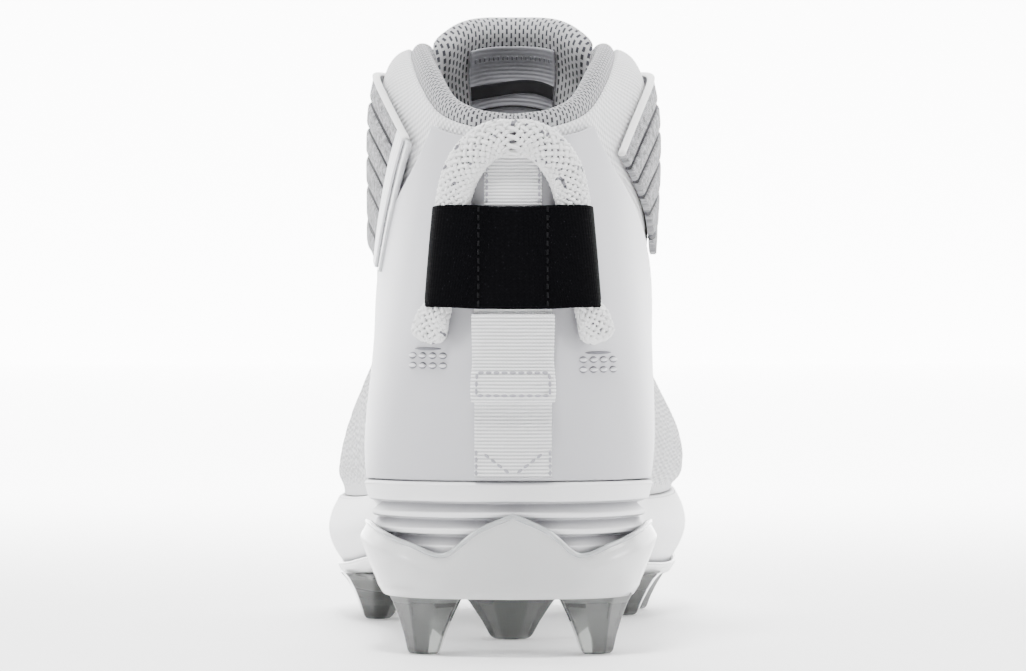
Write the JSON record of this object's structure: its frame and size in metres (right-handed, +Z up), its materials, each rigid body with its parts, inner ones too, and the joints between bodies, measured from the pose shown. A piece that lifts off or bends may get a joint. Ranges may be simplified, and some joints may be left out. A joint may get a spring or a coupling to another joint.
{
  "type": "american football cleat",
  "caption": "Left ankle-high studded football cleat with hollow upper, foam midsole, clear studded plate, ankle strap and braided heel pull",
  "frame": {"origin": "centre of the bounding box in plan, on the floor under the stud tips", "axes": "+X points to the toe, +Y to the outer (lateral) side of this left shoe, +Z up"},
  "size_m": [0.3044, 0.109, 0.176],
  "materials": {
    "plate": "milky clear",
    "foam": "matte foam",
    "insole": "knit top",
    "upper": "coarse knit",
    "shell": "smooth matte synthetic",
    "collar": "padded spacer mesh",
    "tongue": "padded spacer mesh",
    "laces": "flat braid",
    "strap": "ribbed heathered knit",
    "tip": "welded film",
    "webbing": "ribbed tape",
    "cord": "chunky braid",
    "elastic": "ribbed elastic"
  },
  "bodies": {
    "root": {"outsole_plate": "plate", "midsole": "foam", "insole": "insole", "upper": "upper", "heel_shell": "shell", "collar_roll": "collar", "tongue": "tongue", "laces": "laces", "strap": "strap", "strap_tip": "tip", "heel_webbing": "webbing", "pull_cord": "cord", "elastic_band": "elastic"}
  },
  "joints": []
}
